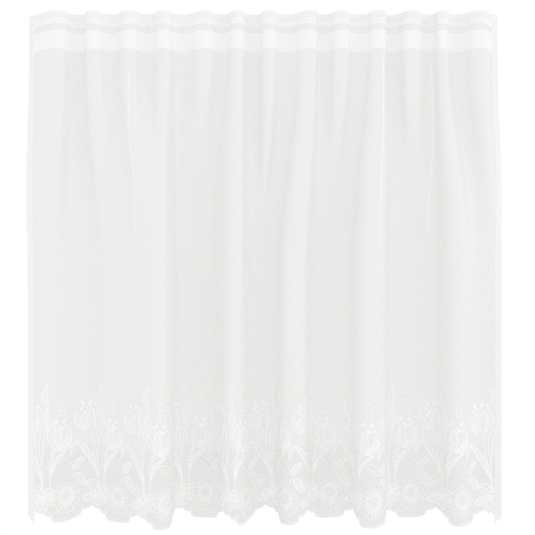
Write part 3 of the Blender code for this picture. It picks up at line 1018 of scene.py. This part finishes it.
# Threads along lines of the flat repeat: a section with a crowned front, low sides and a flat back, capped
# at both ends, woven in every repeat and left out where it would pass under the side hems
def makeThreads(name, lines):
    points, faces, flat = [], [], []
    total = 0
    acrossMap = np.array([-1.0, 0.0, 1.0, 0.0, 0.0])
    outward = np.array([lace["wall"], lace["rise"], lace["wall"], -lace["wall"], -lace["wall"]])
    for line, half in lines:
        ahead = np.gradient(line, axis=0)
        ahead /= np.linalg.norm(ahead, axis=1, keepdims=True) + 1e-9
        side = np.stack([-ahead[:, 1], ahead[:, 0]], axis=1) * np.reshape(half, (-1, 1))
        stations = np.stack([line + side, line, line - side, line - side, line + side], axis=1) * mm
        along = tips[:, None, None] + stations[None, :, :, 0]
        drop = np.broadcast_to(cloth["hemLine"] - stations[None, :, :, 1], along.shape)
        keep = (along.max(axis=(1, 2)) > laceLeft) & (along.min(axis=(1, 2)) < laceRight)
        count = len(line)
        last = (count - 1) * 5
        caps = [[0, 2, 3, 4], [0, 1, 2, 2], [last, last + 4, last + 3, last + 2],
                [last, last + 2, last + 1, last + 1]]
        tube = np.concatenate([gridFaces(count, 5, around=True), caps])
        for number, kept in enumerate(along[keep]):
            inside = ((kept > laceLeft) & (kept < laceRight)).ravel()
            faces.append(tube[inside[tube].all(axis=1)] + total + number * count * 5)
        points.append(hang(along[keep], drop[keep], outward).reshape(-1, 3))
        length = np.concatenate([[0.0], np.cumsum(np.hypot(*np.diff(line, axis=0).T))]) * mm
        lineMap = np.stack(np.broadcast_arrays(length[:, None], acrossMap), axis=-1)
        flat.append(np.tile(lineMap.reshape(-1, 2), (keep.sum(), 1)))
        total += keep.sum() * count * 5
    points, faces, flat = np.concatenate(points), np.concatenate(faces), np.concatenate(flat)
    used = np.unique(faces)
    renumber = np.zeros(len(points), dtype=int)
    renumber[used] = np.arange(len(used))
    faces = renumber[faces]
    triangles = np.concatenate([faces[:, [0, 1, 2]], faces[faces[:, 2] != faces[:, 3]][:, [0, 2, 3]]])
    ridges = np.array([1, 0, 2, 3, 4])[used % 5]
    return makePiece(name, points[used], triangles, [laceThread], flat[used], ridges=ridges)


# All the woven lines of some blades
def linesOf(blades):
    return [line for blade in blades for line in bladeLines(blade)]


tulips = placed(tulipGrowths)
leaves = placed(leafGrowths) + earBlades(upperEar) + [earTip] + earBlades(lowerEar)
lowBlades = placed(lowGrowths)
daisyPetals = daisyBlades()
eyeX, eyeY = daisy["middle"]
eyeAngle = np.linspace(0, 2 * np.pi, 13)
eye = np.stack([eyeX + daisy["eye"] * np.sin(eyeAngle), eyeY - 1 + daisy["eye"] * np.cos(eyeAngle)], axis=1)
stemLines = [(evenSteps(curveThrough(points), lace["step"]), lace["stem"]) for points in stems]
laceThreads = [
    makeThreads("lace_tulips", linesOf(tulips)),
    makeThreads("lace_leaves", linesOf(leaves) + stemLines),
    makeThreads("lace_sprigs", linesOf(lowBlades)),
    makeThreads("lace_daisies", linesOf(daisyPetals) + [(eye, lace["inner"])]),
]

# Lines that follow the scalloped edge, how far inside it and how wide, and the close-woven rim between them
rim = {
    "insides": (0.0018, 0.0074),
    "halfWidths": (1.1, 0.9),
    "step": 2.2,
    "sample": 0.0005,
    "pitch": 0.0025,
}


# The lines of one repeat, half a repeat to each side of the first wide scallop
def makeEdgeLines():
    lines = []
    reach = border["repeat"] / 2
    along = border["firstScallop"] + np.arange(-reach, reach + rim["sample"], rim["sample"])
    for inside, half in zip(rim["insides"], rim["halfWidths"]):
        line = np.stack([along - tips[1], cloth["hemLine"] - insideEdge(along, inside)], axis=1) / mm
        lines.append((evenSteps(line, rim["step"]), half))
    return makeThreads("lace_edge", lines)


scallopLines = makeEdgeLines()

fills = {"step": 3.6, "outward": 0.0002}     # step in millimetres, outward in metres


# Close-woven places: two copies of each grid, one before the net and one behind it that is turned round
def makeFills(name, grids, material):
    points, faces, flat = [], [], []
    total = 0
    for placedAlong, drop in grids:
        number, rows, across = placedAlong.shape
        starts = np.arange(number)[:, None, None] * rows * across
        squares = (starts + gridFaces(rows, across)[None]).reshape(-1, 4)
        cover = np.stack([placedAlong, cloth["hemLine"] - drop], axis=-1).reshape(-1, 2)
        for outward, turned in ((fills["outward"], squares), (-fills["outward"], squares[:, ::-1])):
            points.append(hang(placedAlong, drop, outward).reshape(-1, 3))
            flat.append(cover)
            faces.append(turned + total)
            total += number * rows * across
    return makePiece(name, np.concatenate(points), np.concatenate(faces), [material], np.concatenate(flat))


# The insides of the blades in every repeat, as far as they are clear of the side hems
def bladeGrids(blades):
    grids = []
    for blade in blades:
        if blade.inside == "solid":
            continue
        length = math.hypot(blade.tipX - blade.baseX, blade.tipY - blade.baseY)
        along = np.linspace(0.02, 0.98, max(4, int(length / fills["step"]) + 1))
        across = np.linspace(-0.95, 0.95, max(3, int(blade.width / fills["step"]) + 2))
        grid = bladePoints(blade, across[None, :], along[:, None]) * mm
        placedAlong = tips[:, None, None] + grid[None, :, :, 0]
        drop = np.broadcast_to(cloth["hemLine"] - grid[None, :, :, 1], placedAlong.shape)
        keep = (placedAlong.min(axis=(1, 2)) > laceLeft) & (placedAlong.max(axis=(1, 2)) < laceRight)
        if keep.any():
            grids.append((placedAlong[keep], drop[keep]))
    return grids


# The rim: from the inner line's middle out to the cut edge
def rimGrid():
    along = np.arange(laceLeft, laceRight, rim["pitch"])
    share = np.array([0.0, 0.5, 1.0])[:, None]
    inner = insideEdge(along, rim["insides"][1])
    drop = inner + (hemEdge(along) - 0.0004 - inner) * share
    return np.broadcast_to(along, drop.shape)[None], drop[None]


laceFills = [
    makeFills("lace_fills", bladeGrids(tulips + leaves), closeLace),
    makeFills("lace_fills_low", bladeGrids(lowBlades + daisyPetals) + [rimGrid()], lowLace),
]

# Beads between the twin stems
Bead = namedtuple("Bead", "x y size")
beadRow = [Bead(3 - 6 * share - 9 * math.sin(share * 1.6), 232 - 92 * share, 2.4 - 0.9 * share)
           for share in np.linspace(0, 1, 13)]


# The beads of one repeat, in every repeat and clear of the side hems
def makeBeads(name, beads):
    x, y, size = np.array(beads).T * mm
    rows = np.broadcast_arrays(tips[:, None] + x, cloth["hemLine"] - y, size)
    along, drop, size = (row.ravel() for row in rows)
    keep = (along > laceLeft + 0.002) & (along < laceRight - 0.002)
    return makeBeadsMesh(name, along[keep], drop[keep], 0.0, size[keep], size[keep] * 0.8, 0.0005, 0.0,
                         laceThread)


laceBeads = makeBeads("lace_beads", beadRow)
print("lace border made")

# Studio: pale floor under the curtain, white surround, one soft light from the right
studio = {
    "distance": 2.0,
    "cameraX": 0.0126,
    "cameraZ": -0.718,
    "seenWidth": 1.507,
    "floorZ": -1.75,
    "floorSize": (2.6, 1.45),
    "surround": 1.0,
    "sun": 0.16,
    "sunTurn": (74, 0, 62),
    "sunSoftness": 24,
}
cameraData = bpy.data.cameras.new("camera")
cameraData.sensor_width = 36
cameraData.lens = 36 * studio["distance"] / studio["seenWidth"]
camera = bpy.data.objects.new("camera", cameraData)
camera.location = (studio["cameraX"], -studio["distance"], studio["cameraZ"])
camera.rotation_euler = (math.pi / 2, 0, 0)
bpy.context.scene.collection.objects.link(camera)
bpy.context.scene.camera = camera

sunData = bpy.data.lights.new("softLight", "SUN")
sunData.energy = studio["sun"]
sunData.angle = math.radians(studio["sunSoftness"])
sun = bpy.data.objects.new("softLight", sunData)
sun.rotation_euler = [math.radians(turn) for turn in studio["sunTurn"]]
bpy.context.scene.collection.objects.link(sun)

world = bpy.data.worlds.new("surround")
bpy.context.scene.world = world
world.use_nodes = True
tree = world.node_tree
tree.nodes.clear()
white = addNode(tree, "ShaderNodeBackground", {"Color": (1, 1, 1, 1), "Strength": studio["surround"]})
addNode(tree, "ShaderNodeOutputWorld", {"Surface": white.outputs[0]})
bpy.context.scene.view_settings.view_transform = "Standard"

floorMesh = bpy.data.meshes.new("floor")
halfX, halfY = (size / 2 for size in studio["floorSize"])
floorCorners = [(halfX * x, halfY * y, studio["floorZ"]) for x, y in ((-1, -1), (1, -1), (1, 1), (-1, 1))]
floorMesh.from_pydata(floorCorners, [], [(0, 1, 2, 3)])
floor = bpy.data.objects.new("floor", floorMesh)
bpy.context.scene.collection.objects.link(floor)
floorPaint = bpy.data.materials.new("studioFloor")
floorPaint.use_nodes = True
floorPaint.node_tree.nodes["Principled BSDF"].inputs["Base Color"].default_value = (0.9, 0.9, 0.89, 1)
floorPaint.node_tree.nodes["Principled BSDF"].inputs["Roughness"].default_value = 0.7
floorMesh.materials.append(floorPaint)
print("studio made")
